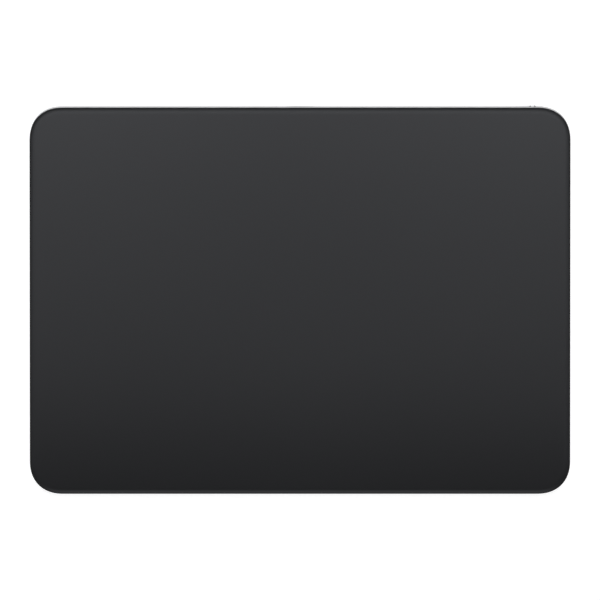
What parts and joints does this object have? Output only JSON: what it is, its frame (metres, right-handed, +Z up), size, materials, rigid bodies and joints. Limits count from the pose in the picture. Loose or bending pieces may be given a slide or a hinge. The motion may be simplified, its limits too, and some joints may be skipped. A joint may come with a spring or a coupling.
{
  "type": "desktop trackpad",
  "caption": "Wireless desktop trackpad: a thin wedge of silver metal under an edge-to-edge matt black glass touch surface, on force-sensing feet, with a sprung haptic actuator.",
  "frame": {"origin": "on the desk, under the middle of the enclosure", "axes": "+Z up from the desk, +Y from the user to the rear wall, +X to the user's right"},
  "size_m": [0.16, 0.1151, 0.0108],
  "materials": {
    "anodised_aluminium": "fine bead-blasted, anodised, natural silver",
    "matt_black_glass": "opaque black from below, finely etched upper face",
    "black_adhesive": "dull",
    "circuit_board": "solder mask",
    "clear_film": "satin film",
    "cover_plastic": "fine satin",
    "ribbon_film": "amber film",
    "sheet_steel": "stamped sheet",
    "port_steel": "drawn sleeve",
    "core_iron": "dark laminations",
    "copper_wire": "enamelled copper wire",
    "dense_metal": "sintered dense metal",
    "plated_magnet": "nickel plated",
    "spring_steel": "rolled strip",
    "battery_foil": "laminated foil pouch",
    "ivory_plastic": "moulded",
    "antenna_ceramic": "plain",
    "black_plastic": "moulded",
    "gilt_contact": "gilt",
    "knob_plastic": "moulded, dark grey",
    "foot_rubber": "moulded",
    "screw_steel": "plated",
    "chip_epoxy": "moulded"
  },
  "bodies": {
    "base": {"enclosure": "anodised_aluminium", "touch_glass": "matt_black_glass", "glass_adhesive": "black_adhesive", "touch_sensor_board": "circuit_board", "sensor_film": "clear_film", "bottom_cover": "cover_plastic", "cover_adhesive": "black_adhesive", "flexure_front_left": "spring_steel", "flexure_front_right": "spring_steel", "flexure_rear_left": "spring_steel", "flexure_rear_right": "spring_steel", "strain_gauges": "ribbon_film", "flexure_screws": "screw_steel", "force_ribbon_left": "ribbon_film", "force_ribbon_right": "ribbon_film", "actuator_tray": "sheet_steel", "actuator_core": "core_iron", "actuator_coils": "copper_wire", "actuator_spring_left": "spring_steel", "actuator_spring_right": "spring_steel", "actuator_screws": "screw_steel", "actuator_ribbon": "ribbon_film", "battery": "battery_foil", "battery_adhesive": "clear_film", "battery_protection_board": "circuit_board", "battery_connector": "ivory_plastic", "battery_cable": "ribbon_film", "logic_board": "circuit_board", "board_screws": "screw_steel", "processor_chip": "chip_epoxy", "touch_controller_chip": "chip_epoxy", "power_chip": "chip_epoxy", "haptic_driver_chip": "chip_epoxy", "radio_shield": "sheet_steel", "antenna": "antenna_ceramic", "board_connectors": "black_plastic", "touch_ribbon": "ribbon_film", "port_shell": "port_steel", "port_contact_block": "black_plastic", "port_contacts": "gilt_contact", "port_bracket": "sheet_steel", "port_screws": "screw_steel", "port_ribbon": "ribbon_film", "switch_body": "black_plastic", "switch_terminal_board": "circuit_board", "switch_bracket": "sheet_steel", "switch_screws": "screw_steel", "switch_ribbon": "ribbon_film"},
    "foot_front_left": {"foot_pad_front_left": "foot_rubber", "foot_post_front_left": "ivory_plastic"},
    "foot_front_right": {"foot_pad_front_right": "foot_rubber", "foot_post_front_right": "ivory_plastic"},
    "foot_rear_left": {"foot_pad_rear_left": "foot_rubber", "foot_post_rear_left": "ivory_plastic"},
    "foot_rear_right": {"foot_pad_rear_right": "foot_rubber", "foot_post_rear_right": "ivory_plastic"},
    "haptic_mass": {"actuator_mass": "dense_metal", "actuator_magnets": "plated_magnet"},
    "power_switch": {"switch_knob": "knob_plastic", "switch_slider": "ivory_plastic"}
  },
  "joints": [
    {"name": "foot_front_left_press", "type": "slide", "parent": "base", "child": "foot_front_left", "axis": [0, 0, 1], "range_m": [0, 0.0002], "stiffness_N_per_m": 12000, "deforming": ["flexure_front_left"]},
    {"name": "foot_front_right_press", "type": "slide", "parent": "base", "child": "foot_front_right", "axis": [0, 0, 1], "range_m": [0, 0.0002], "stiffness_N_per_m": 12000, "deforming": ["flexure_front_right"]},
    {"name": "foot_rear_left_press", "type": "slide", "parent": "base", "child": "foot_rear_left", "axis": [0, 0, 1], "range_m": [0, 0.0002], "stiffness_N_per_m": 12000, "deforming": ["flexure_rear_left"]},
    {"name": "foot_rear_right_press", "type": "slide", "parent": "base", "child": "foot_rear_right", "axis": [0, 0, 1], "range_m": [0, 0.0002], "stiffness_N_per_m": 12000, "deforming": ["flexure_rear_right"]},
    {"name": "haptic_mass_shake", "type": "slide", "parent": "base", "child": "haptic_mass", "axis": [1, 0, 0], "range_m": [-0.0003, 0.0003], "stiffness_N_per_m": 3000, "deforming": ["actuator_spring_left", "actuator_spring_right"]},
    {"name": "power_switch_slide", "type": "slide", "parent": "base", "child": "power_switch", "axis": [1, 0, 0], "range_m": [-0.0025, 0]}
  ]
}
